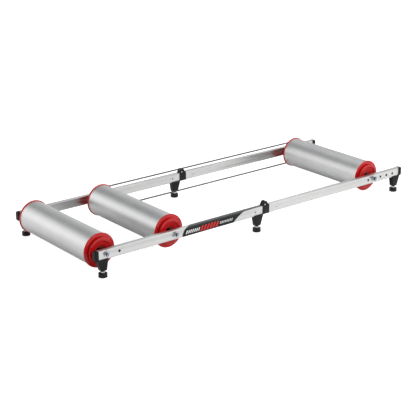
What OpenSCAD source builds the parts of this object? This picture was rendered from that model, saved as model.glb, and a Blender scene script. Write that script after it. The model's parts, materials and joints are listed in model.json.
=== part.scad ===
// Folding bicycle training rollers: three drums between two pairs of hinged rails.
// The rear wheel sits between the rear and middle drums, and a round belt on the far
// side drives the front drum, which carries the front wheel.
// +X runs to the front drum, +Y to the belt side, +Z up, and the floor is at z = 0.

/* [Rails] */
// Width over the outer faces of the rails
frame_w = 476; // [440:1:500]
// Length of each rear rail
rear_rail_l = 666; // [640:1:700]
// Length of each front rail
front_rail_l = 648; // [620:1:680]
// Space between the rear and the front rails, which the hinge fills
hinge_gap = 30; // [28:0.5:34]
// Height of a rail
rail_h = 31; // [29:0.5:32]
// Thickness of a rail, across the frame
rail_t = 15; // [13:0.5:16]
// Wall of a rail's tube
rail_wall = 1.8; // [1.4:0.1:2.2]
// Rounding along a rail's long edges
rail_r = 1.5; // [1:0.1:2.5]

/* [Drums] */
// Diameter of a drum's tube
drum_d = 107; // [100:1:110]
// Wall of a drum's tube
drum_wall = 2; // [1.5:0.1:3]
// Polished chamfer at a tube's ends
drum_chamfer = 0.8; // [0.4:0.1:1.2]
// Height of the axles above the floor
axle_z = 74; // [72:0.5:80]
// Distance from the rear axle to the rear ends of the rails
rear_axle_inset = 32; // [30:0.5:36]
// Distance between the rear and the middle axle
drum_spacing = 268; // [255:1:290]
// Space between a drum's tube and the rails
drum_gap = 31.5; // [30.5:0.5:45]
// Distance from the rear axle forward to the spare rear hole
spare_step = 46; // [40:1:60]

/* [Front holes] */
// Number of axle holes in each front rail
hole_count = 5; // [4:1:6]
// Distance between neighbouring axle holes in the front rails
hole_pitch = 32; // [30:0.5:36]
// Distance from the last hole to the front ends of the rails
hole_inset = 36; // [34:0.5:40]
// How many holes stay free in front of the axle
holes_ahead = 3; // [2:1:3]

/* [End caps] */
// Diameter of a cap's flange
flange_d = 113; // [111:0.5:116]
// Thickness of a cap's flange
flange_t = 5; // [4:0.5:5]
// Depth of the whole cap outside the tube
cap_out = 14.5; // [14:0.1:16]
// Diameter of the lip outside the belt groove
lip_d = 88; // [86:0.5:92]
// Step from a cap's rim down to its face
face_step = 3; // [1:0.5:3]
// Wall of a moulded cap
cap_wall = 3; // [2.4:0.1:3.4]
// Depth of the spigot inside the tube
spigot_l = 14; // [10:1:20]
// Diameter of the round recess over the bearing
recess_d = 38; // [36:0.5:44]
// Number of ribs inside a cap
rib_count = 8; // [6:1:10]

/* [Bearings and axles] */
// Outside diameter of a bearing
bearing_od = 26; // [26:0.5:28]
// Width of a bearing
bearing_w = 8; // [7:0.5:8]
// Diameter of the axle in the bearings
axle_d = 10; // [9.5:0.1:10]
// Diameter of the threaded axle ends
thread_d = 8; // [6:0.5:8]
// Diameter of the axle holes in the rails
hole_d = 9; // [8.5:0.1:9.5]
// Width over the flats of an axle nut
nut_af = 13; // [12:0.5:14]
// Height of an axle nut
nut_h = 9.5; // [5:0.5:10]
// Diameter of a washer
washer_d = 17; // [16:0.5:20]
// Thickness of a washer
washer_t = 1.6; // [1:0.1:2]
// Length of thread that shows past a nut
thread_out = 4; // [1:0.1:5]
// Outside diameter of a spacer sleeve
spacer_d = 14; // [13.5:0.1:14]

/* [Drive belt] */
// Diameter of the round belt
belt_d = 5; // [4:0.1:5]
// Diameter at the middle of the belt where it runs round a cap
belt_pitch_d = 81.5; // [81.5:0.1:82.5]

/* [Legs and feet] */
// Width of a leg bracket across the rail
bracket_w = 20; // [19:0.5:22]
// How far an end bumper stands out of the rail
bumper_out = 13; // [10:0.5:16]
// Rounding of a bumper's outer edges
bumper_r = 5; // [3:0.5:6]
// Depth of a bracket's plug inside the rail
plug_l = 46; // [44:1:52]
// Distance from a leg's middle to the end of its rail
leg_inset = 19; // [18:0.5:20]
// Length of a leg along the rail, at its top
leg_top_l = 34; // [33:0.5:37]
// Length of a leg along the rail, at its foot
leg_foot_l = 22.5; // [21:0.5:24]
// Width of a leg across the rail, at its foot
leg_foot_w = 18; // [16:0.5:19]
// Height of a leg's underside above the floor
leg_z = 22; // [21.5:0.5:25]
// Height of the lips that hold the rail from both sides
lip_h = 2.5; // [1.5:0.5:4]
// Diameter of a rubber foot
pad_d = 29; // [26:0.5:32]
// Height of a rubber foot
pad_h = 14; // [12:0.5:14]
// Width over the flats of a stud's hexagon
stud_af = 13; // [12:0.5:15]
// Height of a stud's hexagon
stud_hex_h = 5; // [4:0.1:5]
// Diameter of a foot's stud
stud_d = 8; // [6:0.5:8]
// Length of a foot's stud above its hexagon
stud_l = 29; // [25:1:30]

/* [Hinge] */
// Distance from the hinge pin to the sides and the top of its ears
knuckle_r = 11.5; // [10.5:0.1:11.5]
// Height of the hinge pin above the axles
pin_up = 17.5; // [17.5:0.1:19]
// Width of the hinge blocks
hinge_w = 16; // [15:0.5:19]
// Thickness of the front half's tongue
tongue_t = 5.8; // [5:0.1:6.2]
// Diameter of the hinge pin
pin_d = 6; // [5:0.1:6]
// Depth of the pin's ends below the sides of the hinge
pin_sunk = 1; // [0.5:0.1:1.5]
// Diameter of a rivet's shank
rivet_d = 4; // [3:0.1:5]
// Diameter of a rivet's head
rivet_head_d = 7; // [6.5:0.1:9]
// Height of a rivet's head
rivet_head_h = 1.2; // [0.8:0.1:1.6]
// Distance from a rivet to the end of its rail
rivet_inset = 32; // [30:0.5:36]

/* [Hidden] */
$fn = 64;

// The two sides of the frame
NEAR = -1;
FAR = 1;
// Clearances: parts that move past each other, parts that seat, shafts, washers; then a cut's excess
run_gap = 0.4;
seat_gap = 0.1;
shaft_gap = 0.05;
washer_gap = 0.2;
cut = 1;
// Facets of a rounded corner inside a hull
corner_fn = 24;
// Thickness of the slices that a hull joins
slice = 0.01;

// Places along X, with the middle of the whole length at zero
rear_reach = max(bumper_out, flange_d / 2 - rear_axle_inset);
total_l = rear_reach + rear_rail_l + hinge_gap + front_rail_l + bumper_out;
rear_end_x = rear_reach - total_l / 2;
rear_stop_x = rear_end_x + rear_rail_l;
front_start_x = rear_stop_x + hinge_gap;
front_end_x = front_start_x + front_rail_l;
rear_axle_x = rear_end_x + rear_axle_inset;
middle_axle_x = rear_axle_x + drum_spacing;
front_axle_x = front_end_x - hole_inset - holes_ahead * hole_pitch;
rear_foot_x = rear_end_x + leg_inset;
hinge_foot_x = rear_stop_x - leg_inset;
front_foot_x = front_end_x - leg_inset;
// Places across the frame
rail_y = (frame_w - rail_t) / 2;
rail_in_y = frame_w / 2 - rail_t;
tube_end_y = rail_in_y - drum_gap;
// Belt and groove
belt_r = belt_d / 2;
belt_pitch_r = belt_pitch_d / 2;
groove_r = belt_pitch_r - belt_r - run_gap;
groove_w = belt_d + 2 * run_gap;
groove_out = flange_t + groove_w / 2;
belt_y = tube_end_y + groove_out;
// Bearing seat in a cap, measured outwards from the tube's end
bearing_in = -2;
bearing_out = bearing_in + bearing_w;
shoulder_t = 2;
ball_r = 2.35;
ball_count = 7;
ball_pitch_r = (bearing_od + axle_d) / 4;
ring_t = 2;
seal_t = 0.6;
seal_in = 0.3;
// Rubber foot
pad_seat_r = 5;
pad_seat_z = 5;
pad_r = pad_d / 2;
stud_z = pad_h + stud_hex_h;
// Height of the leg's underside and of the rail's faces, measured from the axles
rail_top = rail_h / 2;
leg_low = leg_z - axle_z;
leg_edge = 2;
leg_chamfer = 2;
leg_shoulder = 3;
stud_reach = stud_z + stud_l - leg_z;
stud_spare = 7;
// Hinge
pin_r = pin_d / 2;
butt_x = 2 * knuckle_r;
ear_rear = 4.5;
ear_front = 6.5;
ear_slope = 9;
ear_reach = norm([ear_front, knuckle_r]) + run_gap;
tongue_r = 9;
tongue_top = pin_up - rail_top - run_gap;
tongue_low = 9;
collar_x = butt_x + run_gap;
collar_drop = 5;
collar_step = 2;

// A rectangle about the origin with rounded corners
module rounded_rect(w, h, r) {
    square([w - 2 * r, h], center = true);
    square([w, h - 2 * r], center = true);
    for (x = [-1, 1], y = [-1, 1])
        translate([x * (w / 2 - r), y * (h / 2 - r)]) circle(r);
}

// Stands a piece that was drawn along Z in line with the drums, pointing to the far side
module across() {
    rotate([-90, 0, 0]) children();
}

// Puts a piece that was drawn for the far side on either side
module on_side(side) {
    mirror([0, side == FAR ? 0 : 1, 0]) children();
}

// Puts a piece of the rail on the rail's middle line at x
module at_rail(x, side) {
    on_side(side) translate([x, rail_y, axle_z]) children();
}

// A round hole across a rail
module cross_hole(x, d) {
    translate([x, 0, 0]) across() cylinder(h = rail_t + 2 * cut, d = d, center = true);
}

// A rail: a rectangular aluminium tube with its axle holes and rivet hole
module rail(x, l, axle_holes, rivet_hole, side) {
    color("gainsboro") at_rail(x, side) difference() {
        rotate([90, 0, 90]) linear_extrude(l) difference() {
            rounded_rect(rail_t, rail_h, rail_r);
            square([rail_t - 2 * rail_wall, rail_h - 2 * rail_wall], center = true);
        }
        for (h = axle_holes) cross_hole(h, hole_d);
        cross_hole(rivet_hole, rivet_d + 2 * seat_gap);
    }
}

module rear_rail(side) {
    axle_holes = [rear_axle_inset, rear_axle_inset + spare_step, rear_axle_inset + drum_spacing];
    rail(rear_end_x, rear_rail_l, axle_holes, rear_rail_l - rivet_inset, side);
}

module front_rail(side) {
    axle_holes = [for (i = [0 : hole_count - 1]) front_rail_l - hole_inset - i * hole_pitch];
    rail(front_start_x, front_rail_l, axle_holes, rivet_inset, side);
}

// The plug that fills a rail's end, with its mouth at x = 0 and a hole for what holds it
module plug(hole_x, hole) {
    w = rail_t - 2 * rail_wall - 2 * seat_gap;
    h = rail_h - 2 * rail_wall - 2 * seat_gap;
    difference() {
        translate([-cut, -w / 2, -h / 2]) cube([plug_l + cut, w, h]);
        cross_hole(hole_x, hole);
    }
}

// Four upright corner posts of a slice of the leg, from x0 to x1, w wide, at height z
module leg_slice(x0, x1, w, z) {
    for (x = [x0 + leg_edge, x1 - leg_edge], y = [-1, 1])
        translate([x, y * (w / 2 - leg_edge), z]) cylinder(h = slice, r = leg_edge, $fn = corner_fn);
}

// A tapered leg under the rail's end, with lips beside the rail and a bore for the stud
module leg() {
    foot_x0 = leg_inset - leg_foot_l / 2;
    foot_x1 = leg_inset + leg_foot_l / 2;
    top_x1 = leg_inset + leg_top_l / 2;
    difference() {
        hull() {
            leg_slice(-leg_shoulder, top_x1, bracket_w, lip_h - rail_top);
            leg_slice(foot_x0, foot_x1, leg_foot_w, leg_low + leg_chamfer);
            leg_slice(foot_x0 + leg_chamfer, foot_x1 - leg_chamfer, leg_foot_w - leg_chamfer, leg_low);
        }
        translate([0, -rail_t / 2 - seat_gap, -rail_top - seat_gap])
            cube([rail_h + plug_l, rail_t + 2 * seat_gap, rail_h]);
        translate([leg_inset, 0, leg_low - cut])
            cylinder(h = stud_reach + stud_spare + cut, d = stud_d + 2 * shaft_gap);
    }
}

// The rounded block that closes a rail's outer end and takes the knocks
module bumper() {
    mouth_r = 1;
    hull() {
        for (y = [-1, 1], z = [-1, 1])
            translate([bumper_r - bumper_out, y * (bracket_w / 2 - bumper_r), z * (rail_top - bumper_r)])
                sphere(bumper_r, $fn = corner_fn);
        for (y = [-1, 1], z = [-1, 1])
            translate([-slice, y * (bracket_w / 2 - mouth_r), z * (rail_top - mouth_r)])
                rotate([0, 90, 0]) cylinder(h = slice, r = mouth_r, $fn = corner_fn);
    }
}

// An end bracket, drawn with the rail running to +X from its end at x = 0
module end_bracket(hole_x) {
    color("#26282a") {
        bumper();
        leg();
        plug(hole_x, hole_d);
    }
}

module rear_leg(side) {
    at_rail(rear_end_x, side) end_bracket(rear_axle_inset);
}

module front_leg(side) {
    at_rail(front_end_x, side) mirror([1, 0, 0]) end_bracket(hole_inset);
}

// The side view of the rear hinge block, whose ears slope from a flat top to the rail and the butt face
module hinge_block_outline() {
    ear_top = pin_up + knuckle_r;
    polygon([
        [0, -rail_top], [butt_x, -rail_top], [butt_x, ear_top - ear_slope],
        [knuckle_r + ear_front, ear_top], [knuckle_r - ear_rear, ear_top], [0, rail_top]
    ]);
}

// What the tongue sweeps as the frame folds
module tongue_room() {
    reach = 2 * knuckle_r + cut;
    translate([knuckle_r, pin_up]) circle(tongue_r + run_gap);
    translate([-cut, pin_up - tongue_top - run_gap]) square([reach + cut, reach]);
    translate([knuckle_r, pin_up - tongue_low - run_gap]) square([reach, reach]);
}

// Stands an outline of the side view up as a plate about the rail's middle
module side_plate(t) {
    rotate([90, 0, 0]) linear_extrude(t, center = true) children();
}

// The bracket of the rear half: plug, middle leg and the two ears of the hinge
module hinge_leg(side) {
    color("#26282a") at_rail(rear_stop_x, side) difference() {
        union() {
            mirror([1, 0, 0]) {
                leg();
                plug(rivet_inset, rivet_d + 2 * seat_gap);
            }
            side_plate(hinge_w) hinge_block_outline();
        }
        side_plate(tongue_t + 2 * run_gap) tongue_room();
        translate([knuckle_r, 0, pin_up]) across()
            cylinder(h = hinge_w + 2 * cut, r = pin_r + shaft_gap, center = true);
    }
}

// The side view of the front half's collar
module collar_outline() {
    polygon([
        [collar_x, -rail_top], [hinge_gap, -rail_top], [hinge_gap, rail_top - collar_step],
        [hinge_gap - collar_drop / 2, pin_up - collar_drop / 2], [collar_x, pin_up + tongue_top]
    ]);
}

// The bracket of the front half: plug, collar and the tongue that turns on the pin
module hinge_tongue(side) {
    color("#26282a") at_rail(rear_stop_x, side) difference() {
        union() {
            translate([hinge_gap, 0, 0]) plug(rivet_inset, rivet_d + 2 * seat_gap);
            side_plate(hinge_w) difference() {
                collar_outline();
                translate([knuckle_r, pin_up]) circle(ear_reach);
            }
            side_plate(tongue_t) {
                collar_outline();
                translate([knuckle_r, pin_up]) circle(tongue_r);
                translate([knuckle_r, pin_up - tongue_low])
                    square([collar_x - knuckle_r + cut, tongue_low + tongue_top]);
            }
        }
        translate([knuckle_r, 0, pin_up]) across()
            cylinder(h = hinge_w + 2 * cut, r = pin_r + shaft_gap, center = true);
    }
}

module hinge_pins() {
    color("silver") for (side = [NEAR, FAR])
        at_rail(rear_stop_x + knuckle_r, side) translate([0, 0, pin_up]) across()
            cylinder(h = hinge_w - 2 * pin_sunk, r = pin_r, center = true);
}

// A rivet through a rail, with a domed head on each side
module rivet(x, side) {
    head_r = rivet_head_d / 2;
    dome_r = (head_r * head_r + rivet_head_h * rivet_head_h) / (2 * rivet_head_h);
    at_rail(x, side) {
        across() cylinder(h = rail_t + rivet_head_h, d = rivet_d, center = true);
        for (turn = [0, 180])
            rotate([0, 0, turn]) translate([0, rail_t / 2, 0]) across() intersection() {
                cylinder(h = rivet_head_h, r = head_r);
                translate([0, 0, rivet_head_h - dome_r]) sphere(dome_r);
            }
    }
}

module rail_rivets(x) {
    color("silver") for (side = [NEAR, FAR]) rivet(x, side);
}

// Puts a piece of a drum's end at x, drawn from the tube's end outwards
module at_drum_end(x, side) {
    on_side(side) translate([x, tube_end_y, axle_z]) across() children();
}

module drum_tube(x) {
    in_r = drum_d / 2 - drum_wall;
    out_r = drum_d / 2;
    bevel_y = tube_end_y - drum_chamfer;
    color("silver") translate([x, 0, axle_z]) across() rotate_extrude() polygon([
        [in_r, -tube_end_y], [out_r - drum_chamfer, -tube_end_y], [out_r, -bevel_y],
        [out_r, bevel_y], [out_r - drum_chamfer, tube_end_y], [in_r, tube_end_y]
    ]);
}

// Half of a cap's section, from the spigot in the tube out to the lip and back to the hub
module cap_section() {
    spigot_r = drum_d / 2 - drum_wall - shaft_gap;
    core_r = groove_r - cap_wall;
    lip_r = lip_d / 2;
    recess_r = recess_d / 2;
    seat_r = bearing_od / 2 + shaft_gap;
    hub_r = seat_r + cap_wall;
    flange_r = flange_d / 2;
    edge = 1;
    groove_far = flange_t + groove_w;
    // The raised rim of the face, and the face that lies a little lower inside it
    rim_r = lip_r - 9;
    rim = cap_out - edge;
    face = cap_out - face_step;
    polygon([
        [spigot_r - cap_wall, -spigot_l], [spigot_r, -spigot_l], [spigot_r, 0],
        [flange_r - edge, 0], [flange_r, edge], [flange_r, flange_t - 2 * edge],
        [flange_r - edge, flange_t - edge], [lip_r - edge, flange_t],
        [groove_r + edge, flange_t], [groove_r, flange_t + edge], [groove_r, groove_far - edge],
        [groove_r + edge, groove_far], [lip_r - edge, groove_far], [lip_r, groove_far + edge],
        [lip_r, rim], [lip_r - edge, cap_out], [rim_r, cap_out], [rim_r - edge, face],
        [recess_r + edge, face], [recess_r, face - edge], [recess_r, bearing_out + edge],
        [seat_r + edge, bearing_out + edge], [seat_r, bearing_out], [seat_r, bearing_in],
        [seat_r - shoulder_t, bearing_in], [seat_r - shoulder_t, bearing_in - shoulder_t],
        [hub_r, bearing_in - shoulder_t], [hub_r, bearing_out - cap_wall],
        [recess_r + cap_wall, bearing_out - cap_wall], [recess_r + cap_wall, face - cap_wall],
        [core_r, face - cap_wall], [core_r, flange_t - cap_wall],
        [spigot_r - cap_wall, flange_t - cap_wall]
    ]);
}

// A moulded end cap with its belt groove, its bearing seat and its inner ribs
module cap(x, side) {
    hub_r = bearing_od / 2 + cap_wall;
    spigot_r = drum_d / 2 - drum_wall;
    rib_t = 2.4;
    rib_in = 0.5;
    rib_h = flange_t - cap_wall + rib_in - bearing_in + shoulder_t;
    color("#c81e24") at_drum_end(x, side) {
        rotate_extrude($fn = 96) cap_section();
        for (i = [0 : rib_count - 1])
            rotate(i * 360 / rib_count) translate([hub_r - rib_in, -rib_t / 2, bearing_in - shoulder_t])
                cube([spigot_r - cap_wall - hub_r + 2 * rib_in, rib_t, rib_h]);
    }
}

// The two rings of a sealed bearing at one end of a drum
module bearing_ring(inner_r, outer_r, sealed) {
    mid = (bearing_in + bearing_out) / 2;
    rotate_extrude() difference() {
        union() {
            translate([inner_r, bearing_in]) square([outer_r - inner_r, bearing_w]);
            if (sealed) for (a = [bearing_in + seal_in, bearing_out - seal_in - seal_t])
                translate([axle_d / 2 + ring_t + run_gap, a])
                    square([inner_r - axle_d / 2 - ring_t - run_gap + cut, seal_t]);
        }
        translate([ball_pitch_r, mid]) circle(ball_r + 2 * shaft_gap);
    }
}

module bearing_outer_rings(x) {
    outer_r = bearing_od / 2;
    color("dimgray") for (side = [NEAR, FAR])
        at_drum_end(x, side) bearing_ring(outer_r - ring_t, outer_r, true);
}

module bearing_inner_rings(x) {
    inner_r = axle_d / 2 + shaft_gap;
    color("silver") for (side = [NEAR, FAR])
        at_drum_end(x, side) bearing_ring(inner_r, axle_d / 2 + ring_t, false);
}

module bearing_balls(x) {
    color("silver") for (side = [NEAR, FAR], i = [0 : ball_count - 1])
        at_drum_end(x, side) rotate(i * 360 / ball_count)
            translate([ball_pitch_r, 0, (bearing_in + bearing_out) / 2]) sphere(ball_r);
}

// A steel axle with shoulders against the rails and threaded ends through them
module axle(x) {
    end_y = frame_w / 2 + washer_t + nut_h + thread_out;
    chamfer = 0.8;
    color("silver") translate([x, 0, axle_z]) across() {
        cylinder(h = 2 * (rail_in_y - seat_gap), d = axle_d, center = true);
        rotate_extrude() polygon([
            [0, -end_y], [thread_d / 2 - chamfer, -end_y], [thread_d / 2, chamfer - end_y],
            [thread_d / 2, end_y - chamfer], [thread_d / 2 - chamfer, end_y], [0, end_y]
        ]);
    }
}

// A sleeve between the bearing and the rail
module axle_spacers(x) {
    start = bearing_out + seat_gap;
    l = drum_gap - start - seat_gap;
    color("silver") for (side = [NEAR, FAR])
        at_drum_end(x, side) translate([0, 0, start]) difference() {
            cylinder(h = l, d = spacer_d);
            translate([0, 0, -cut]) cylinder(h = l + 2 * cut, d = axle_d + 2 * shaft_gap);
        }
}

// Puts a fastener on the outer face of a rail
module on_rail_face(x, side) {
    on_side(side) translate([x, frame_w / 2, axle_z]) across() children();
}

module axle_washers(x) {
    color("silver") for (side = [NEAR, FAR])
        on_rail_face(x, side) difference() {
            cylinder(h = washer_t, d = washer_d);
            translate([0, 0, -cut]) cylinder(h = washer_t + 2 * cut, d = thread_d + 2 * washer_gap);
        }
}

// A hexagon with its corners turned off at both faces
module hexagon(af, h) {
    corner_r = af / sqrt(3);
    flat_r = af / 2;
    drop = (corner_r - flat_r) / 2;
    intersection() {
        cylinder(h = h, r = corner_r, $fn = 6);
        rotate_extrude() polygon([
            [0, 0], [flat_r, 0], [corner_r, drop], [corner_r, h - drop], [flat_r, h], [0, h]
        ]);
    }
}

module axle_nuts(x) {
    color("silver") for (side = [NEAR, FAR])
        on_rail_face(x, side) translate([0, 0, washer_t]) difference() {
            hexagon(nut_af, nut_h);
            translate([0, 0, -cut]) cylinder(h = nut_h + 2 * cut, d = thread_d + 2 * shaft_gap);
        }
}

// Puts a foot under its leg
module at_foot(x, side) {
    on_side(side) translate([x, rail_y, 0]) children();
}

// A rubber foot with rounded edges and a waist, moulded round the stud's base
module pad(x, side) {
    edge = 2;
    // How far the middle of a rounded edge lies inside its corner
    bevel = 0.3 * edge;
    waist = 0.6;
    color("#1a1a1a") at_foot(x, side) rotate_extrude() polygon([
        [0, 0], [pad_r - edge, 0], [pad_r - bevel, bevel], [pad_r, edge],
        [pad_r - waist, pad_h / 2], [pad_r, pad_h - edge], [pad_r - bevel, pad_h - bevel],
        [pad_r - edge, pad_h], [pad_seat_r, pad_h], [pad_seat_r, pad_seat_z], [0, pad_seat_z]
    ]);
}

// A levelling stud: base in the rubber, hexagon for the spanner, thread into the leg
module stud(x, side) {
    chamfer = 1;
    color("silver") at_foot(x, side) {
        translate([0, 0, pad_seat_z]) cylinder(h = pad_h - pad_seat_z, r = pad_seat_r - shaft_gap);
        translate([0, 0, pad_h]) hexagon(stud_af, stud_hex_h);
        translate([0, 0, stud_z]) {
            cylinder(h = stud_l - chamfer, d = stud_d);
            translate([0, 0, stud_l - chamfer])
                cylinder(h = chamfer, r1 = stud_d / 2, r2 = stud_d / 2 - chamfer);
        }
    }
}

// The round belt: two straight runs and a half turn in each cap's groove
module drive_belt() {
    run = front_axle_x - middle_axle_x;
    color("#3a3a38") translate([middle_axle_x, belt_y, axle_z]) {
        for (z = [-1, 1])
            translate([0, 0, z * belt_pitch_r]) rotate([0, 90, 0]) cylinder(h = run, r = belt_r);
        rotate([90, 0, 0]) rotate([0, 0, 90])
            rotate_extrude(angle = 180) translate([belt_pitch_r, 0]) circle(belt_r);
        translate([run, 0, 0]) rotate([90, 0, 0]) rotate([0, 0, -90])
            rotate_extrude(angle = 180) translate([belt_pitch_r, 0]) circle(belt_r);
    }
}

rear_rail(NEAR);  // rear_rail_near
rear_rail(FAR);  // rear_rail_far
front_rail(NEAR);  // front_rail_near
front_rail(FAR);  // front_rail_far
rear_leg(NEAR);  // rear_leg_near
rear_leg(FAR);  // rear_leg_far
front_leg(NEAR);  // front_leg_near
front_leg(FAR);  // front_leg_far
hinge_leg(NEAR);  // hinge_leg_near
hinge_leg(FAR);  // hinge_leg_far
hinge_tongue(NEAR);  // hinge_tongue_near
hinge_tongue(FAR);  // hinge_tongue_far
hinge_pins();
rail_rivets(rear_stop_x - rivet_inset);  // rear_rail_rivets
rail_rivets(front_start_x + rivet_inset);  // front_rail_rivets
drum_tube(rear_axle_x);  // rear_drum_tube
cap(rear_axle_x, NEAR);  // rear_cap_near
cap(rear_axle_x, FAR);  // rear_cap_far
bearing_outer_rings(rear_axle_x);  // rear_bearing_outer_rings
bearing_balls(rear_axle_x);  // rear_bearing_balls
bearing_inner_rings(rear_axle_x);  // rear_bearing_inner_rings
axle(rear_axle_x);  // rear_axle
axle_spacers(rear_axle_x);  // rear_axle_spacers
axle_washers(rear_axle_x);  // rear_axle_washers
axle_nuts(rear_axle_x);  // rear_axle_nuts
drum_tube(middle_axle_x);  // middle_drum_tube
cap(middle_axle_x, NEAR);  // middle_cap_near
cap(middle_axle_x, FAR);  // middle_cap_far
bearing_outer_rings(middle_axle_x);  // middle_bearing_outer_rings
bearing_balls(middle_axle_x);  // middle_bearing_balls
bearing_inner_rings(middle_axle_x);  // middle_bearing_inner_rings
axle(middle_axle_x);  // middle_axle
axle_spacers(middle_axle_x);  // middle_axle_spacers
axle_washers(middle_axle_x);  // middle_axle_washers
axle_nuts(middle_axle_x);  // middle_axle_nuts
drum_tube(front_axle_x);  // front_drum_tube
cap(front_axle_x, NEAR);  // front_cap_near
cap(front_axle_x, FAR);  // front_cap_far
bearing_outer_rings(front_axle_x);  // front_bearing_outer_rings
bearing_balls(front_axle_x);  // front_bearing_balls
bearing_inner_rings(front_axle_x);  // front_bearing_inner_rings
axle(front_axle_x);  // front_axle
axle_spacers(front_axle_x);  // front_axle_spacers
axle_washers(front_axle_x);  // front_axle_washers
axle_nuts(front_axle_x);  // front_axle_nuts
stud(rear_foot_x, NEAR);  // rear_stud_near
pad(rear_foot_x, NEAR);  // rear_pad_near
stud(rear_foot_x, FAR);  // rear_stud_far
pad(rear_foot_x, FAR);  // rear_pad_far
stud(hinge_foot_x, NEAR);  // hinge_stud_near
pad(hinge_foot_x, NEAR);  // hinge_pad_near
stud(hinge_foot_x, FAR);  // hinge_stud_far
pad(hinge_foot_x, FAR);  // hinge_pad_far
stud(front_foot_x, NEAR);  // front_stud_near
pad(front_foot_x, NEAR);  // front_pad_near
stud(front_foot_x, FAR);  // front_stud_far
pad(front_foot_x, FAR);  // front_pad_far
drive_belt();
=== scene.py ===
import json
import math

import bpy
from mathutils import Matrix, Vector


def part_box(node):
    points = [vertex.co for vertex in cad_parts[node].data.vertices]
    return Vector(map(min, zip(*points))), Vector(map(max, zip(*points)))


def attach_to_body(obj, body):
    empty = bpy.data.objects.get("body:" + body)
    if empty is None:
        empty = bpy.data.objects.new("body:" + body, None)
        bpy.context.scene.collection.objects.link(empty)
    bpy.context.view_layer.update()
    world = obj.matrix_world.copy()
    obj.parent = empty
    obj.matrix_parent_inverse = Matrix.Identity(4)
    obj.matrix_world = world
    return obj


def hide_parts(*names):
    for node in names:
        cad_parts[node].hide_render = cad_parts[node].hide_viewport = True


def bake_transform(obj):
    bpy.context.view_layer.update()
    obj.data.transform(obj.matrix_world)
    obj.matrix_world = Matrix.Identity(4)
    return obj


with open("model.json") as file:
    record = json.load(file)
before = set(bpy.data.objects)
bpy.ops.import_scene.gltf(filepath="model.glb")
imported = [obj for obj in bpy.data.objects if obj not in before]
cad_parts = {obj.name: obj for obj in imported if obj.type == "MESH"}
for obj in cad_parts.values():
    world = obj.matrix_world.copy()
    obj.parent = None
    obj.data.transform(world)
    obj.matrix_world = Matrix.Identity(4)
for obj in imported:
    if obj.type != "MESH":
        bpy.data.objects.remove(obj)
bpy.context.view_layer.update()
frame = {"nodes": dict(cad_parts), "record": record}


# Rails: four rectangular aluminium tubes, extruded, cut to length, drilled and satin anodised.
# The die leaves faint lines along them, and the anodised layer spreads their shine a little.


def linear(hex_colour):
    """An sRGB hex colour as the linear one that a shader takes."""
    shares = [int(hex_colour[i : i + 2], 16) / 255 for i in (1, 3, 5)]
    return (*[s / 12.92 if s <= 0.04045 else ((s + 0.055) / 1.055) ** 2.4 for s in shares], 1)


def new_material(name):
    """An empty material with its shader and the place of each point on the object."""
    material = bpy.data.materials.new(name)
    material.use_nodes = True
    shader = material.node_tree.nodes["Principled BSDF"]
    place = material.node_tree.nodes.new("ShaderNodeTexCoord").outputs["Object"]
    return material, shader, place


def add_node(material, kind, settings):
    """Adds a shader node, or sets one that is there.

    A setting is a property's name, or an input's name or number. An input takes a value or a link.
    """
    node = kind if isinstance(kind, bpy.types.Node) else material.node_tree.nodes.new("ShaderNode" + kind)
    for key, value in settings.items():
        if isinstance(key, str) and key in node.bl_rna.properties:
            setattr(node, key, value)
        elif isinstance(value, bpy.types.NodeSocket):
            material.node_tree.links.new(value, node.inputs[key])
        else:
            node.inputs[key].default_value = value
    return node


# Anodised aluminium, drawn through a die: pale and satin, with fine lines along the rail.
# The real lines are finer, and are drawn this coarse so that they show. A pattern's size is in millimetres
# here and below, and its noise takes 1000 over it, because that counts the pattern in a metre.
LINE_MM = 0.9
LINE_STRETCH = 0.01
CLOUD_MM = 60
anodised, shader, place = new_material("satin_anodised_aluminium_extrusion")
along = add_node(anodised, "Mapping", {"Vector": place, "Scale": (LINE_STRETCH, 1, 1)})
lines = add_node(anodised, "TexNoise", {"Vector": along.outputs[0], "Scale": 1000 / LINE_MM, "Detail": 2})
cloud = add_node(anodised, "TexNoise", {"Vector": place, "Scale": 1000 / CLOUD_MM, "Detail": 3})
tone = add_node(anodised, "Mix", {"data_type": "RGBA", 0: cloud.outputs[0],
                                  6: linear("#bdbdbc"), 7: linear("#c8c8c6")})
dull = add_node(anodised, "MapRange", {"Value": lines.outputs[0], "To Min": 0.26, "To Max": 0.4})
relief = add_node(anodised, "Bump", {"Height": lines.outputs[0], "Strength": 0.12, "Distance": 0.0002})
add_node(anodised, shader, {"Base Color": tone.outputs[2], "Metallic": 1.0, "Roughness": dull.outputs[0],
                            "Normal": relief.outputs[0]})

# The tube's inside and the walls of its holes have no even anodising: dull and grey, and drawn near black as
# painted shade inside the tube
STAIN_MM = 9
shaded_rail_inside, shader, place = new_material("raw_aluminium_rail_inside_painted_shade")
stain = add_node(shaded_rail_inside, "TexNoise", {"Vector": place, "Scale": 1000 / STAIN_MM, "Detail": 3})
tone = add_node(shaded_rail_inside, "Mix", {"data_type": "RGBA", 0: stain.outputs[0],
                             6: linear("#161616"), 7: linear("#2b2b2a")})
add_node(shaded_rail_inside, shader, {"Base Color": tone.outputs[2], "Roughness": 0.75, "IOR": 1.4})

bodies = frame["record"]["behaviour"]["bodies"]
body_of = {node: body for body, nodes in bodies.items() for node in nodes}

# A frame node's loose triangles are merged within this gap, and joined where they are this flat.
# Then edges sharper than SHARP_DEG are rounded, and faces within SMOOTH_DEG of each other shade as one.
WELD_GAP = 2e-6
FLAT_DEG = 0.2
SHARP_DEG = 40
SMOOTH_DEG = 35
ROUNDING_STEPS = 2


def select_only(piece):
    """Makes one piece the only selected and the active one."""
    bpy.ops.object.select_all(action="DESELECT")
    bpy.context.view_layer.objects.active = piece
    piece.select_set(True)


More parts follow.
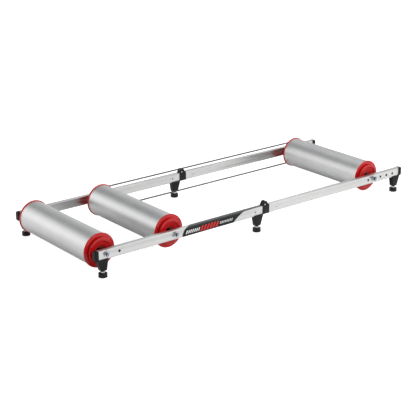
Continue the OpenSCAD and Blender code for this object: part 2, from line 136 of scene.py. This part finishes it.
def apply_modifiers(piece):
    """Turns a piece's modifiers into mesh, in their order."""
    select_only(piece)
    for modifier in list(piece.modifiers):
        bpy.ops.object.modifier_apply(modifier=modifier.name)


def attach(piece, node):
    """Puts a finished piece on the body of the frame node that it stands for."""
    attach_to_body(piece, body_of[node])
    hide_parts(node)


def finish_edges(node, material, radius, smooth_deg=SMOOTH_DEG):
    """A copy of a frame node with its edges rounded as the real piece's are, in place of the node."""
    piece = bpy.data.objects.new("finished_" + node, frame["nodes"][node].data.copy())
    bpy.context.collection.objects.link(piece)
    select_only(piece)
    bpy.ops.mesh.customdata_custom_splitnormals_clear()
    bpy.ops.object.mode_set(mode="EDIT")
    bpy.ops.mesh.select_all(action="SELECT")
    bpy.ops.mesh.remove_doubles(threshold=WELD_GAP)
    bpy.ops.mesh.dissolve_limited(angle_limit=math.radians(FLAT_DEG))
    bpy.ops.object.mode_set(mode="OBJECT")
    if radius:
        rounding = piece.modifiers.new("rounding", "BEVEL")
        rounding.width = radius
        rounding.segments = ROUNDING_STEPS
        rounding.angle_limit = math.radians(SHARP_DEG)
        apply_modifiers(piece)
    bpy.ops.object.shade_smooth_by_angle(angle=math.radians(smooth_deg))
    piece.data.materials.clear()
    piece.data.materials.append(material)
    attach(piece, node)
    return piece


def paint_faces(piece, material, is_painted):
    """Gives a second material to the faces that a test picks out."""
    piece.data.materials.append(material)
    for face in piece.data.polygons:
        face.material_index = int(is_painted(face))


SIDES = ("near", "far")
RAIL_ROUNDING = 0.0002
# Deeper than this under the outer faces, a face is in the tube's inside
OUTER_DEPTH = 0.00036
# Under the skin and this far from the tube's corners, a face is the wall of a hole
SKIN = 0.00002
CORNER = 0.003


def is_inside(face, low, high):
    """Whether a face of a rail is in the tube's inside or is the wall of a hole."""
    inwards, along_face = (min(face.center[i] - low[i], high[i] - face.center[i]) for i in (1, 2))
    in_bore = inwards > SKIN and along_face > CORNER
    return in_bore or min(inwards, along_face) > OUTER_DEPTH


for side in SIDES:
    for half in ("rear_rail_", "front_rail_"):
        rail = finish_edges(half + side, anodised, RAIL_ROUNDING)
        low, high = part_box(half + side)
        # Painted shade: the faces inside the tube and in its holes take the near black inside material
        paint_faces(rail, shaded_rail_inside, lambda face: is_inside(face, low, high))


# Printed strip: thin black vinyl that wraps from the outer face over the top of the near rear rail.
# Its ends are cut in a sweep, the top part runs on to the hinge, and plain slanted bars are printed on it.

# The vinyl's thickness, its distance from the rail's lower edge, and the radius of the rail's upper one
STRIP_THICKNESS = 0.00015
STRIP_LOW_GAP = 0.0008
RAIL_EDGE = 0.0015
# The cut outline: distance from the lower edge across the strip, then its start and its end along the rail
STRIP_OUTLINE = (
    (0.0000, -0.3435, -0.1290),
    (0.0060, -0.3425, -0.1220),
    (0.0120, -0.3405, -0.1140),
    (0.0180, -0.3375, -0.1055),
    (0.0230, -0.3340, -0.0970),
    (0.0262, -0.3310, -0.0910),
    (0.0287, -0.3270, -0.0840),
    (0.0311, -0.3215, -0.0030),
    (0.0440, -0.3020, -0.0030),
)
# Each group of bars: its start and end along the rail, the pitch of its bars, its lowest and highest point,
# and its colour
BARS = (
    (-0.3611, -0.3030, 0.0083, 0.0660, 0.0770, "#ececec"),
    (-0.3008, -0.2240, 0.0128, 0.0625, 0.0805, "#de2f2b"),
    (-0.2205, -0.1645, 0.0070, 0.0685, 0.0770, "#d2d3d3"),
)
# A bar's lean along the rail for its height, and its half width as a share of the pitch
BAR_LEAN = 0.45
BAR_HALF = 0.3
# Painted light: the black print is drawn greyer towards the top, as the lit top face; the higher this is, the
# later it turns grey
TOP_LIGHT_LATENESS = 9

rail_low, rail_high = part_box("rear_rail_near")
# Printed vinyl: black with a low sheen, and painted light that turns it greyer where it folds over the top
vinyl, shader, place = new_material("printed_black_vinyl")
spot = add_node(vinyl, "SeparateXYZ", {"Vector": place})
slanted = add_node(vinyl, "Math", {"operation": "MULTIPLY_ADD", 0: spot.outputs["Z"], 1: -BAR_LEAN,
                                   2: spot.outputs["X"]})
rise = add_node(vinyl, "MapRange", {"Value": spot.outputs["Z"], "From Min": rail_low.z,
                                    "From Max": rail_high.z})
painted_top_light = add_node(vinyl, "Math", {"operation": "POWER", 0: rise.outputs[0], 1: TOP_LIGHT_LATENESS})
# Painted light: the black print fades to this grey over the top
print_and_top_light = add_node(vinyl, "Mix", {"data_type": "RGBA", 0: painted_top_light.outputs[0],
                                     6: linear("#0b0c0d"), 7: linear("#4a4c4e")})
for start, end, pitch, low, high, bar_colour in BARS:
    turn = add_node(vinyl, "Math", {"operation": "PINGPONG", 0: slanted.outputs[0], 1: pitch / 2})
    mask = add_node(vinyl, "Math", {"operation": "LESS_THAN", 0: turn.outputs[0], 1: pitch * BAR_HALF})
    for value, side_of, limit in (
        (slanted.outputs[0], "GREATER_THAN", start),
        (slanted.outputs[0], "LESS_THAN", end),
        (spot.outputs["Z"], "GREATER_THAN", low),
        (spot.outputs["Z"], "LESS_THAN", high),
    ):
        within = add_node(vinyl, "Math", {"operation": side_of, 0: value, 1: limit})
        mask = add_node(vinyl, "Math", {"operation": "MULTIPLY", 0: mask.outputs[0], 1: within.outputs[0]})
    print_and_top_light = add_node(vinyl, "Mix", {"data_type": "RGBA", 0: mask.outputs[0],
                                         6: print_and_top_light.outputs[2], 7: linear(bar_colour)})
add_node(vinyl, shader, {"Base Color": print_and_top_light.outputs[2], "Roughness": 0.32, "Specular IOR Level": 0.22})

face_y = rail_low.y - STRIP_THICKNESS / 2
turn_r = RAIL_EDGE + STRIP_THICKNESS / 2
side_run = rail_high.z - RAIL_EDGE - rail_low.z - STRIP_LOW_GAP
top_run = rail_high.y - rail_low.y - 2 * RAIL_EDGE
wrap = side_run + turn_r * math.pi / 2 + top_run


def strip_ends(across):
    """Where the strip starts and ends along the rail, at a distance from its lower edge."""
    for (at, *ends), (next_at, *next_ends) in zip(STRIP_OUTLINE, STRIP_OUTLINE[1:]):
        if across <= next_at:
            share = (across - at) / (next_at - at)
            return [end + (next_end - end) * share for end, next_end in zip(ends, next_ends)]
    return STRIP_OUTLINE[-1][1:]


def strip_section(across):
    """The strip's Y and Z on the rail, at a distance from its lower edge."""
    if across < side_run:
        return face_y, rail_low.z + STRIP_LOW_GAP + across
    bend = min((across - side_run) / turn_r, math.pi / 2)
    past = across - side_run - bend * turn_r
    centre_y, centre_z = rail_low.y + RAIL_EDGE, rail_high.z - RAIL_EDGE
    return centre_y - turn_r * math.cos(bend) + past, centre_z + turn_r * math.sin(bend)


# The strip starts as its lower edge, which is then drawn up the face, round the corner and over the top
STRIP_STEPS = 14
BEND_STEPS = 4
EDGE_WELD = 1e-6
BEND_SMOOTH_DEG = 40
stations = [side_run * i / STRIP_STEPS for i in range(STRIP_STEPS)]
stations += [side_run + turn_r * math.pi / 2 * i / BEND_STEPS for i in range(BEND_STEPS + 1)]
stations += [wrap - top_run * (1 - i / STRIP_STEPS) for i in range(1, STRIP_STEPS + 1)]
start_x, end_x = strip_ends(0)
y, z = strip_section(0)
middle_x = (start_x + end_x) / 2
bpy.ops.object.select_all(action="DESELECT")
bpy.ops.mesh.primitive_plane_add(size=1, location=(middle_x, y, z))
strip = bpy.context.object
strip.name = "printed_strip"
bpy.ops.object.transform_apply(location=True)
bpy.ops.object.mode_set(mode="EDIT")
bpy.ops.mesh.select_all(action="SELECT")
bpy.ops.transform.resize(value=(end_x - start_x, 0, 0), center_override=(middle_x, y, z))
bpy.ops.mesh.remove_doubles(threshold=EDGE_WELD)
bpy.ops.mesh.select_all(action="SELECT")
for across in stations[1:]:
    new_start, new_end = strip_ends(across)
    new_y, new_z = strip_section(across)
    move = (new_start - start_x, new_y - y, new_z - z)
    bpy.ops.mesh.extrude_edges_move(TRANSFORM_OT_translate={"value": move})
    stretch = (new_end - new_start) / (end_x - start_x)
    bpy.ops.transform.resize(value=(stretch, 1, 1), center_override=(new_start, new_y, new_z))
    start_x, end_x, y, z = new_start, new_end, new_y, new_z
bpy.ops.mesh.select_all(action="SELECT")
bpy.ops.mesh.normals_make_consistent(inside=False)
bpy.ops.object.mode_set(mode="OBJECT")
thickness = strip.modifiers.new("thickness", "SOLIDIFY")
thickness.thickness = STRIP_THICKNESS
thickness.offset = 0
apply_modifiers(strip)
bpy.ops.object.shade_smooth_by_angle(angle=math.radians(BEND_SMOOTH_DEG))
strip.data.materials.append(vinyl)
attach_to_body(strip, body_of["rear_rail_near"])


# Legs, bumpers and hinge blocks: glass-filled nylon, moulded black, pushed into the rails' ends.
# The mould's spark-eroded face leaves a fine grain, and its edges come out slightly round.

NYLON_ROUNDING = 0.0005

# Moulded nylon: black, a little uneven from its flow, with a low sheen broken by the grain.
# The real grain is finer, and is drawn this coarse so that it shows.
GRAIN_MM = 0.7
NYLON_FLOW_MM = 18
nylon, shader, place = new_material("black_glass_filled_nylon")
grain = add_node(nylon, "TexNoise", {"Vector": place, "Scale": 1000 / GRAIN_MM, "Detail": 2})
flow = add_node(nylon, "TexNoise", {"Vector": place, "Scale": 1000 / NYLON_FLOW_MM, "Detail": 2})
tone = add_node(nylon, "Mix", {"data_type": "RGBA", 0: flow.outputs[0],
                               6: linear("#0a0b0c"), 7: linear("#131516")})
dull = add_node(nylon, "MapRange", {"Value": grain.outputs[0], "To Min": 0.36, "To Max": 0.52})
relief = add_node(nylon, "Bump", {"Height": grain.outputs[0], "Strength": 0.25, "Distance": 0.0001})
add_node(nylon, shader, {"Base Color": tone.outputs[2], "Roughness": dull.outputs[0],
                         "Specular IOR Level": 0.2, "Normal": relief.outputs[0]})
for side in SIDES:
    for node in ("rear_leg_", "front_leg_", "hinge_leg_", "hinge_tongue_"):
        finish_edges(node + side, nylon, NYLON_ROUNDING)


# Hinge pins and rivets: plated steel pins, and blind rivets of aluminium with domed heads.
# The pins sit a little below the hinge's sides, and the rivets hold the hinge blocks in the rails.

PIN_ROUNDING = 0.0003

# Bright zinc on steel: pale and faintly blue, with a cloudy bloom that dulls it in patches
BLOOM_MM = 3
steel, shader, place = new_material("zinc_plated_steel")
bloom = add_node(steel, "TexNoise", {"Vector": place, "Scale": 1000 / BLOOM_MM, "Detail": 3})
tone = add_node(steel, "Mix", {"data_type": "RGBA", 0: bloom.outputs[0],
                               6: linear("#b4bbc5"), 7: linear("#e4e7ea")})
dull = add_node(steel, "MapRange", {"Value": bloom.outputs[0], "To Min": 0.2, "To Max": 0.36})
add_node(steel, shader, {"Base Color": tone.outputs[2], "Metallic": 1.0, "Roughness": dull.outputs[0]})
finish_edges("hinge_pins", steel, PIN_ROUNDING)

# The broken stem in a blind rivet's head: dull dark steel, thin in the front rivets. In the rear ones the
# dark disc is drawn wide, as painted shade on the head
STEM_AND_SHADE_R = {"rear": 0.0029, "front": 0.0013}
RUST_MM = 1.2
stem_and_shade, shader, place = new_material("rivet_stem_and_painted_shade")
rust = add_node(stem_and_shade, "TexNoise", {"Vector": place, "Scale": 1000 / RUST_MM, "Detail": 2})
tone = add_node(stem_and_shade, "Mix", {"data_type": "RGBA", 0: rust.outputs[0],
                              6: linear("#232425"), 7: linear("#3c3d3f")})
add_node(stem_and_shade, shader, {"Base Color": tone.outputs[2], "Roughness": 0.6, "Specular IOR Level": 0.3})


def middle_of(node):
    """The middle of a frame node's box."""
    low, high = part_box(node)
    return (low + high) / 2


def off_axis(face, centre, axes="xz"):
    """A face's distance from the line through a centre, measured across it along two axes."""
    return math.hypot(*(getattr(face.center, axis) - getattr(centre, axis) for axis in axes))


# Each rivet's head is drawn dark within its radius: the stem, and in the rear rivets painted shade as well
for half, dark_r in STEM_AND_SHADE_R.items():
    rivets = finish_edges(half + "_rail_rivets", anodised, 0)
    centre = middle_of(half + "_rail_rivets")
    paint_faces(rivets, stem_and_shade, lambda face: off_axis(face, centre) < dark_r)


# Drums: aluminium tube, turned on a lathe over its whole length, then blasted to a satin face.
# The last few millimetres at each end are left bright where the tool ran out.

DRUMS = ("rear", "middle", "front")
TUBE_WALL = 0.002
TUBE_SIDES = 160
BRIGHT_END = 0.0032
END_CHAMFER = 0.0008
CHAMFER_STEPS = 2
TUBE_SHARP_DEG = 60
TUBE_SMOOTH_DEG = 30

# Turned and blasted aluminium: soft and grey, with faint rings round it and large, slightly duller patches.
# The real pits and rings are finer, and are drawn this coarse so that they show.
SPECK_MM = 1.1
RING_MM = 1.6
RING_STRETCH = 0.02
RING_SHARE = 0.6
SMEAR_MM = 45
satin, shader, place = new_material("satin_turned_aluminium_tube")
around = add_node(satin, "Mapping", {"Vector": place, "Scale": (RING_STRETCH, 1, RING_STRETCH)})
rings = add_node(satin, "TexNoise", {"Vector": around.outputs[0], "Scale": 1000 / RING_MM, "Detail": 1})
specks = add_node(satin, "TexNoise", {"Vector": place, "Scale": 1000 / SPECK_MM, "Detail": 2})
smear = add_node(satin, "TexNoise", {"Vector": place, "Scale": 1000 / SMEAR_MM, "Detail": 3})
tone = add_node(satin, "Mix", {"data_type": "RGBA", 0: smear.outputs[0],
                               6: linear("#b5b5b5"), 7: linear("#c5c5c4")})
worn = add_node(satin, "MapRange", {"Value": smear.outputs[0], "To Min": 0.43, "To Max": 0.51})
height = add_node(satin, "Math", {"operation": "MULTIPLY_ADD", 0: rings.outputs[0], 1: RING_SHARE,
                                  2: specks.outputs[0]})
relief = add_node(satin, "Bump", {"Height": height.outputs[0], "Strength": 0.3, "Distance": 0.0002})
add_node(satin, shader, {"Base Color": tone.outputs[2], "Metallic": 1.0, "Roughness": worn.outputs[0],
                         "Normal": relief.outputs[0]})

# Fresh turned aluminium at the ends: paler than the satin face, with closer rings
FINE_RING_MM = 0.5
bright, shader, place = new_material("bright_turned_aluminium_end")
around = add_node(bright, "Mapping", {"Vector": place, "Scale": (RING_STRETCH, 1, RING_STRETCH)})
rings = add_node(bright, "TexNoise", {"Vector": around.outputs[0], "Scale": 1000 / FINE_RING_MM, "Detail": 1})
dull = add_node(bright, "MapRange", {"Value": rings.outputs[0], "To Min": 0.42, "To Max": 0.54})
add_node(bright, shader, {"Base Color": linear("#f0f1f1"), "Metallic": 1.0, "Roughness": dull.outputs[0]})

for drum in DRUMS:
    low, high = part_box(drum + "_drum_tube")
    centre = (low + high) / 2
    radius = (high.z - low.z) / 2
    length = high.y - low.y
    satin_reach = length / 2 - BRIGHT_END
    bpy.ops.object.select_all(action="DESELECT")
    bpy.ops.mesh.primitive_cylinder_add(vertices=TUBE_SIDES, radius=radius, depth=length, location=centre,
                                        end_fill_type="NOTHING", rotation=(math.pi / 2, 0, 0))
    tube = bpy.context.object
    tube.name = drum + "_turned_tube"
    bpy.ops.object.transform_apply(location=True, rotation=True)
    bpy.ops.object.mode_set(mode="EDIT")
    for end in (-1, 1):
        bpy.ops.mesh.select_all(action="SELECT")
        bpy.ops.mesh.bisect(plane_co=(0, centre.y + end * satin_reach, 0), plane_no=(0, 1, 0))
    bpy.ops.mesh.select_all(action="SELECT")
    bpy.ops.mesh.normals_make_consistent(inside=False)
    bpy.ops.object.mode_set(mode="OBJECT")
    tube.data.materials.append(satin)
    paint_faces(tube, bright, lambda face: abs(face.center.y - centre.y) > satin_reach)
    wall = tube.modifiers.new("wall", "SOLIDIFY")
    wall.thickness = TUBE_WALL
    wall.offset = -1
    chamfer = tube.modifiers.new("chamfer", "BEVEL")
    chamfer.width = END_CHAMFER
    chamfer.segments = CHAMFER_STEPS
    chamfer.angle_limit = math.radians(TUBE_SHARP_DEG)
    apply_modifiers(tube)
    bpy.ops.object.shade_smooth_by_angle(angle=math.radians(TUBE_SMOOTH_DEG))
    attach(tube, drum + "_drum_tube")


# End caps: red nylon, injection moulded with a high gloss, pressed into the tube and turning with it.
# Each has the belt's groove between two flanges, a raised rim and a stepped recess for the bearing.

CAP_ROUNDING = 0.0004

# Glossy moulded nylon: deep red, a little uneven from its flow, with shallow sink marks in the gloss
CAP_FLOW_MM = 22
SINK_MM = 7
gloss, shader, place = new_material("glossy_red_moulded_nylon")
flow = add_node(gloss, "TexNoise", {"Vector": place, "Scale": 1000 / CAP_FLOW_MM, "Detail": 2})
sink = add_node(gloss, "TexNoise", {"Vector": place, "Scale": 1000 / SINK_MM, "Detail": 1})
tone = add_node(gloss, "Mix", {"data_type": "RGBA", 0: flow.outputs[0],
                               6: linear("#b91115"), 7: linear("#cf191c")})
dull = add_node(gloss, "MapRange", {"Value": flow.outputs[0], "To Min": 0.2, "To Max": 0.32})
relief = add_node(gloss, "Bump", {"Height": sink.outputs[0], "Strength": 0.12, "Distance": 0.0004})
add_node(gloss, shader, {"Base Color": tone.outputs[2], "Roughness": dull.outputs[0],
                         "Specular IOR Level": 0.3, "Normal": relief.outputs[0],
                         "Coat Weight": 0.18, "Coat Roughness": 0.12})
for drum in DRUMS:
    for side in SIDES:
        finish_edges(drum + "_cap_" + side, gloss, CAP_ROUNDING)


# Bearings and axles: sealed ball bearings in the caps, on plated steel axles that stand still in the rails.
# Sleeves keep the drum centred, and a washer and a nut clamp each threaded end outside its rail.

RING_ROUNDING = 0.0002
NUT_ROUNDING = 0.0002
SLEEVE_ROUNDING = 0.0003
# The seal lies between these radii of the outer ring's piece
SEAL_R = (0.0074, 0.0112)
# Between these radii, a face is part of a thread of 8 mm
THREAD_ROOT = 0.0036
THREAD_CREST = 0.00408
THREAD_PITCH_MM = 1.25
# A nut's face is one of its flats where its normal points along the axle by less than this
FLAT_TILT = 0.5

# Bearing steel, still smooth: drawn dark brownish grey in patches, as painted shade deep in the caps'
# recesses
BEARING_PATCH_MM = 2.5
shaded_bearing_steel, shader, place = new_material("bearing_steel_painted_shade")
bearing_patches = add_node(shaded_bearing_steel, "TexNoise", {"Vector": place, "Scale": 1000 / BEARING_PATCH_MM, "Detail": 2})
tone = add_node(shaded_bearing_steel, "Mix", {"data_type": "RGBA", 0: bearing_patches.outputs[0],
                               6: linear("#2f2c28"), 7: linear("#6f6a5f")})
dull = add_node(shaded_bearing_steel, "MapRange", {"Value": bearing_patches.outputs[0], "To Min": 0.18, "To Max": 0.3})
add_node(shaded_bearing_steel, shader, {"Base Color": tone.outputs[2], "Metallic": 1.0, "Roughness": dull.outputs[0]})

# Seal rubber: a plain black ring between the bearing's two rings
seal, shader, _ = new_material("black_bearing_seal_rubber")
add_node(seal, shader, {"Base Color": linear("#101011"), "Roughness": 0.45, "IOR": 1.5})


def rolled_thread(name, axis):
    """Plated steel with a rolled thread along one axis: bumped ridges, with painted shade darkening the roots
    between them.
    """
    material, shader, place = new_material(name)
    spot = add_node(material, "SeparateXYZ", {"Vector": place})
    turns = add_node(material, "Math", {"operation": "MULTIPLY", 0: spot.outputs[axis],
                                        1: 2 * math.pi * 1000 / THREAD_PITCH_MM})
    ridge = add_node(material, "Math", {"operation": "SINE", 0: turns.outputs[0]})
    # Painted shade: the colour runs from the ridges' grey down to near black in the roots
    tone = add_node(material, "MapRange", {"Value": ridge.outputs[0], "From Min": -1,
                                           "To Min": 0.1, "To Max": 0.6})
    relief = add_node(material, "Bump", {"Height": ridge.outputs[0], "Strength": 0.8, "Distance": 0.0004})
    add_node(material, shader, {"Base Color": tone.outputs[0], "Metallic": 1.0, "Roughness": 0.3,
                                "Normal": relief.outputs[0]})
    return material


axle_thread = rolled_thread("zinc_plated_axle_thread", "Y")

# Painted shade: a darker zinc in patches, on the axle spacers between the caps and the rails, and on the
# nuts' flats, which it draws darker than their faces
PATCH_MM = 2
dark_zinc, shader, place = new_material("dark_zinc_painted_shade")
patch = add_node(dark_zinc, "TexNoise", {"Vector": place, "Scale": 1000 / PATCH_MM, "Detail": 2})
tone = add_node(dark_zinc, "Mix", {"data_type": "RGBA", 0: patch.outputs[0],
                                   6: linear("#2f383d"), 7: linear("#727d83")})
add_node(dark_zinc, shader, {"Base Color": tone.outputs[2], "Metallic": 1.0, "Roughness": 0.3})

rail_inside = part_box("rear_rail_far")[0].y
# Painted shade: the bearings' rings and balls are drawn in the dark steel, and the spacers in the darker zinc
for drum in DRUMS:
    for part, material, rounding_r in (
        ("bearing_inner_rings", shaded_bearing_steel, RING_ROUNDING),
        ("bearing_balls", shaded_bearing_steel, 0),
        ("axle_spacers", dark_zinc, SLEEVE_ROUNDING),
        ("axle_washers", steel, SLEEVE_ROUNDING),
    ):
        finish_edges(f"{drum}_{part}", material, rounding_r)
    # Painted shade: the nuts' flats are drawn in the darker zinc
    nuts = finish_edges(drum + "_axle_nuts", steel, NUT_ROUNDING)
    paint_faces(nuts, dark_zinc, lambda face: abs(face.normal.y) < FLAT_TILT)
    rings = finish_edges(drum + "_bearing_outer_rings", shaded_bearing_steel, RING_ROUNDING)
    shaft = finish_edges(drum + "_axle", steel, 0)
    centre = middle_of(drum + "_axle")
    paint_faces(rings, seal, lambda face: SEAL_R[0] < off_axis(face, centre) < SEAL_R[1])
    paint_faces(shaft, axle_thread,
                lambda face: abs(face.center.y) > rail_inside and off_axis(face, centre) > THREAD_ROOT)


# Feet: a rubber pad moulded on a plated levelling stud, which screws into the leg.
# The hexagon over the pad takes the spanner, and the thread shows between it and the leg.

PAD_ROUNDING = 0.0006
PAD_SMOOTH_DEG = 50
STUD_ROUNDING = 0.0002

# Moulded rubber: near black, fairly smooth, with fine pores that are drawn coarser so that they show
PORE_MM = 0.8
rubber, shader, place = new_material("black_moulded_rubber")
pores = add_node(rubber, "TexNoise", {"Vector": place, "Scale": 1000 / PORE_MM, "Detail": 3})
tone = add_node(rubber, "Mix", {"data_type": "RGBA", 0: pores.outputs[0],
                                6: linear("#050505"), 7: linear("#0d0d0d")})
dull = add_node(rubber, "MapRange", {"Value": pores.outputs[0], "To Min": 0.24, "To Max": 0.4})
relief = add_node(rubber, "Bump", {"Height": pores.outputs[0], "Strength": 0.2, "Distance": 0.0001})
add_node(rubber, shader, {"Base Color": tone.outputs[2], "Roughness": dull.outputs[0],
                          "Specular IOR Level": 0.3, "Normal": relief.outputs[0]})
stud_thread = rolled_thread("zinc_plated_stud_thread", "Z")
for foot in ("rear", "hinge", "front"):
    for side in SIDES:
        finish_edges(f"{foot}_pad_{side}", rubber, PAD_ROUNDING, PAD_SMOOTH_DEG)
        stud = finish_edges(f"{foot}_stud_{side}", steel, STUD_ROUNDING)
        centre = middle_of(f"{foot}_stud_{side}")
        paint_faces(stud, stud_thread, lambda face: THREAD_ROOT < off_axis(face, centre, "xy") < THREAD_CREST)


# Drive belt: one round cord of polyurethane, welded into a loop round the two far caps.
# Dust and wear leave it a dull dark grey.

# The cord's radius and the number of its sides, the steps round its two half turns, and the cuts in each run
BELT_R = 0.0025
BELT_SIDES = 16
BELT_TURN = 96
RUN_CUTS = 90

# Worn polyurethane: dark grey, dulled by dust that lies in patches
DUST_MM = 6
cord_skin, shader, place = new_material("dull_dark_polyurethane_cord")
dust = add_node(cord_skin, "TexNoise", {"Vector": place, "Scale": 1000 / DUST_MM, "Detail": 3})
tone = add_node(cord_skin, "Mix", {"data_type": "RGBA", 0: dust.outputs[0],
                                   6: linear("#2c2b2a"), 7: linear("#474543")})
dull = add_node(cord_skin, "MapRange", {"Value": dust.outputs[0], "To Min": 0.42, "To Max": 0.6})
add_node(cord_skin, shader, {"Base Color": tone.outputs[2], "Roughness": dull.outputs[0], "IOR": 1.5})

# A ring round the middle drum's groove, whose front half is then moved to the front drum's
belt_low, belt_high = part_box("drive_belt")
loop_r = (belt_high.z - belt_low.z) / 2 - BELT_R
belt_run = belt_high.x - belt_low.x - 2 * (loop_r + BELT_R)
ring_centre = (belt_low + belt_high) / 2
ring_centre.x = belt_low.x + BELT_R + loop_r
half_step = loop_r * math.pi / BELT_TURN / 2
bpy.ops.object.select_all(action="DESELECT")
bpy.ops.mesh.primitive_torus_add(major_radius=loop_r, minor_radius=BELT_R, major_segments=BELT_TURN,
                                 minor_segments=BELT_SIDES, location=ring_centre,
                                 rotation=(math.pi / 2, 0, 0))
belt = bpy.context.object
belt.name = "round_drive_belt"
bpy.ops.object.transform_apply(location=True, rotation=True)
bpy.ops.object.mode_set(mode="EDIT")
bpy.ops.mesh.select_mode(type="VERT")
bpy.ops.mesh.select_all(action="DESELECT")
bpy.ops.object.mode_set(mode="OBJECT")
for vertex in belt.data.vertices:
    vertex.select = vertex.co.x > ring_centre.x + half_step
bpy.ops.object.mode_set(mode="EDIT")
bpy.ops.transform.translate(value=(belt_run, 0, 0))
# The edges of the two straight runs alone are then cut, so that the belt can bend
bpy.ops.mesh.select_mode(type="EDGE")
bpy.ops.mesh.select_all(action="DESELECT")
bpy.ops.object.mode_set(mode="OBJECT")
for edge in belt.data.edges:
    a, b = (belt.data.vertices[i].co for i in edge.vertices)
    edge.select = (a - b).length > belt_run / 2
bpy.ops.object.mode_set(mode="EDIT")
bpy.ops.mesh.subdivide(number_cuts=RUN_CUTS)
bpy.ops.object.mode_set(mode="OBJECT")
bpy.ops.object.shade_smooth()
belt.data.materials.append(cord_skin)
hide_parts("drive_belt")
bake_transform(belt)


# Studio: a white paper floor in a white room, three large soft lights and a long lens.
# The camera stands where the photograph's stood, behind the near rear corner of the rollers.

# The camera's place, turn, tilt and lens were solved from the rails, holes and caps in the photograph
CAMERA_PLACE = (-2.4468, -2.9756, 1.3959)
CAMERA_YAW = 38.902
CAMERA_PITCH = 19.718
LENS_MM = 99.64
SENSOR_MM = 36
VIEW_DEPTH = 60
FLOOR_SIZE = 40
FLOOR_DROP = 0.0002

camera_data = bpy.data.cameras.new("camera")
camera_data.lens = LENS_MM
camera_data.sensor_width = SENSOR_MM
camera_data.clip_end = VIEW_DEPTH
camera = bpy.data.objects.new("camera", camera_data)
bpy.context.collection.objects.link(camera)
camera.location = CAMERA_PLACE
camera.rotation_euler = (math.radians(90 - CAMERA_PITCH), 0, math.radians(-CAMERA_YAW))
scene = bpy.context.scene
scene.camera = camera
scene.view_settings.view_transform = "Standard"

# White paper: matt, near full white to the camera and in the metal, and the deepest shadows stay on it.
# It glows by these shares to the camera and in reflections. Shade within this reach dims the reflected one.
PAPER_GLOW_SEEN = 0.8
PAPER_GLOW_MIRRORED = 0.5
SHADE_REACH = 0.3
SHADE_DEPTH = 2.5
paper, shader, _ = new_material("white_studio_paper")
path = add_node(paper, "LightPath", {})
mirrored = add_node(paper, "Math", {"operation": "ADD", 0: path.outputs["Is Glossy Ray"],
                                    1: path.outputs["Is Transmission Ray"]})
seen = add_node(paper, "Math", {"operation": "MULTIPLY", 0: path.outputs["Is Camera Ray"],
                                1: PAPER_GLOW_SEEN})
# Under the drums and rails the mirrored paper falls off into the shade
shade = add_node(paper, "AmbientOcclusion", {"Distance": SHADE_REACH})
open_paper = add_node(paper, "Math", {"operation": "POWER", 0: shade.outputs["AO"], 1: SHADE_DEPTH})
mirrored_glow = add_node(paper, "Math", {"operation": "MULTIPLY", 0: mirrored.outputs[0],
                                         1: open_paper.outputs[0]})
glow = add_node(paper, "Math", {"operation": "MULTIPLY_ADD", 0: mirrored_glow.outputs[0],
                                1: PAPER_GLOW_MIRRORED, 2: seen.outputs[0]})
tone = add_node(paper, "Mix", {"data_type": "RGBA", 0: mirrored.outputs[0],
                               6: linear("#c6c6c6"), 7: linear("#f2f2f2")})
add_node(paper, shader, {"Base Color": tone.outputs[2], "Roughness": 0.9,
                         "Emission Color": linear("#ffffff"), "Emission Strength": glow.outputs[0]})
bpy.ops.object.select_all(action="DESELECT")
bpy.ops.mesh.primitive_plane_add(size=FLOOR_SIZE, location=(0, 0, -FLOOR_DROP))
floor = bpy.context.object
floor.name = "studio_floor"
floor.data.materials.append(paper)

# Soft lights, which all point at the rollers' middle: the place, the width and height, and the watts of each
LIGHTS = (
    ("side_softbox", (-1.9, 1.9, 1.1), (2.2, 1.9), 17),
    ("front_softbox", (0.8, -2.2, 1.7), (2.8, 2.0), 35),
    ("top_softbox", (1.0, 0.3, 2.3), (3.2, 2.6), 28),
)
for name, lamp_place, (width, height), watts in LIGHTS:
    lamp_data = bpy.data.lights.new(name, "AREA")
    lamp_data.shape = "RECTANGLE"
    lamp_data.size = width
    lamp_data.size_y = height
    lamp_data.energy = watts
    lamp = bpy.data.objects.new(name, lamp_data)
    bpy.context.collection.objects.link(lamp)
    lamp.location = lamp_place
    lamp.rotation_euler = (-Vector(lamp_place)).to_track_quat("-Z", "Y").to_euler()
    lamp.visible_camera = False

# The white room: pale walls low down, and a greyer ceiling, which the metal shows as its dark bands
WALL_TOP = 0.48
CEILING_START = 0.62
world = bpy.data.worlds.new("studio")
scene.world = world
world.use_nodes = True
path = add_node(world, "LightPath", {})
look = add_node(world, "TexCoord", {})
direction = add_node(world, "SeparateXYZ", {"Vector": look.outputs["Generated"]})
climb = add_node(world, "MapRange", {"Value": direction.outputs["Z"], "From Min": WALL_TOP,
                                     "From Max": CEILING_START})
room = add_node(world, "Mix", {"data_type": "RGBA", 0: climb.outputs[0],
                               6: linear("#f4f4f4"), 7: linear("#757a7e")})
backdrop = add_node(world, "Mix", {"data_type": "RGBA", 0: path.outputs["Is Camera Ray"],
                                   6: room.outputs[2], 7: linear("#ffffff")})
add_node(world, world.node_tree.nodes["Background"], {"Color": backdrop.outputs[2], "Strength": 1.0})
